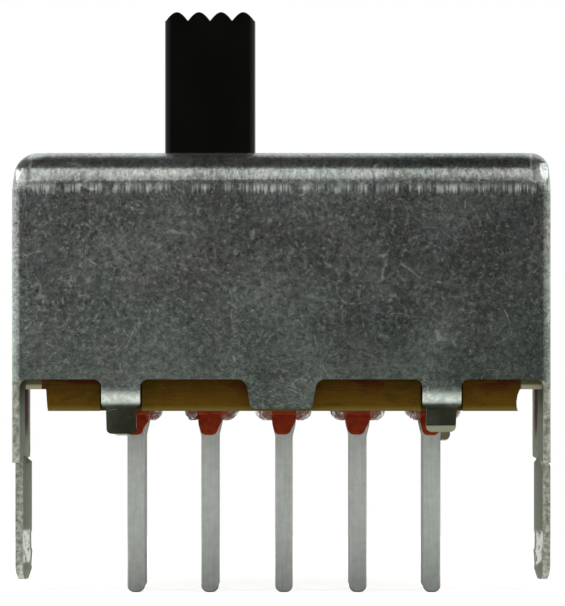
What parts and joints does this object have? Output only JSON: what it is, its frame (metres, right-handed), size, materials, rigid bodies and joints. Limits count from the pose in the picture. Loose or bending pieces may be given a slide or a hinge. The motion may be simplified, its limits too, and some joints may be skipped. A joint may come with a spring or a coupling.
{
  "type": "slide switch",
  "caption": "Upright slide switch for a circuit board: drawn steel frame, black knob, brown base with two rows of flat terminals and a lug at each end.",
  "frame": {"origin": "middle of the terminal grid, on the plane of the circuit board under the end plates", "axes": "+X along the switch and the knob's travel, front wall at -Y, +Z out of the board"},
  "size_m": [0.0183, 0.0076, 0.0199],
  "materials": {
    "tinned_steel": "dull tin plate with a fine mottle and light scuffs",
    "black_moulding": "matt black moulding",
    "spring_brass": "bright spring strip",
    "ball_steel": "polished ball steel",
    "spring_steel": "drawn spring wire",
    "phenolic": "brown paper laminate with sheared edges",
    "terminal_plate": "dull silver plate",
    "red_resin": "glossy red sealing resin"
  },
  "bodies": {
    "switch_body": {"frame": "tinned_steel", "base": "phenolic", "terminal_front_1": "terminal_plate", "terminal_front_2": "terminal_plate", "terminal_front_3": "terminal_plate", "terminal_front_4": "terminal_plate", "terminal_front_5": "terminal_plate", "terminal_rear_1": "terminal_plate", "terminal_rear_2": "terminal_plate", "terminal_rear_3": "terminal_plate", "terminal_rear_4": "terminal_plate", "terminal_rear_5": "terminal_plate", "seal_front_1": "red_resin", "seal_front_2": "red_resin", "seal_front_3": "red_resin", "seal_front_4": "red_resin", "seal_front_5": "red_resin", "seal_rear_1": "red_resin", "seal_rear_2": "red_resin", "seal_rear_3": "red_resin", "seal_rear_4": "red_resin", "seal_rear_5": "red_resin"},
    "slider_set": {"slider": "black_moulding", "contact_front": "spring_brass", "contact_rear": "spring_brass", "detent_ball_front": "ball_steel", "detent_ball_rear": "ball_steel", "detent_spring_front": "spring_steel", "detent_spring_rear": "spring_steel"}
  },
  "joints": [
    {"name": "slider_travel", "type": "slide", "parent": "switch_body", "child": "slider_set", "axis": [1, 0, 0], "range_m": [0, 0.00508]}
  ]
}
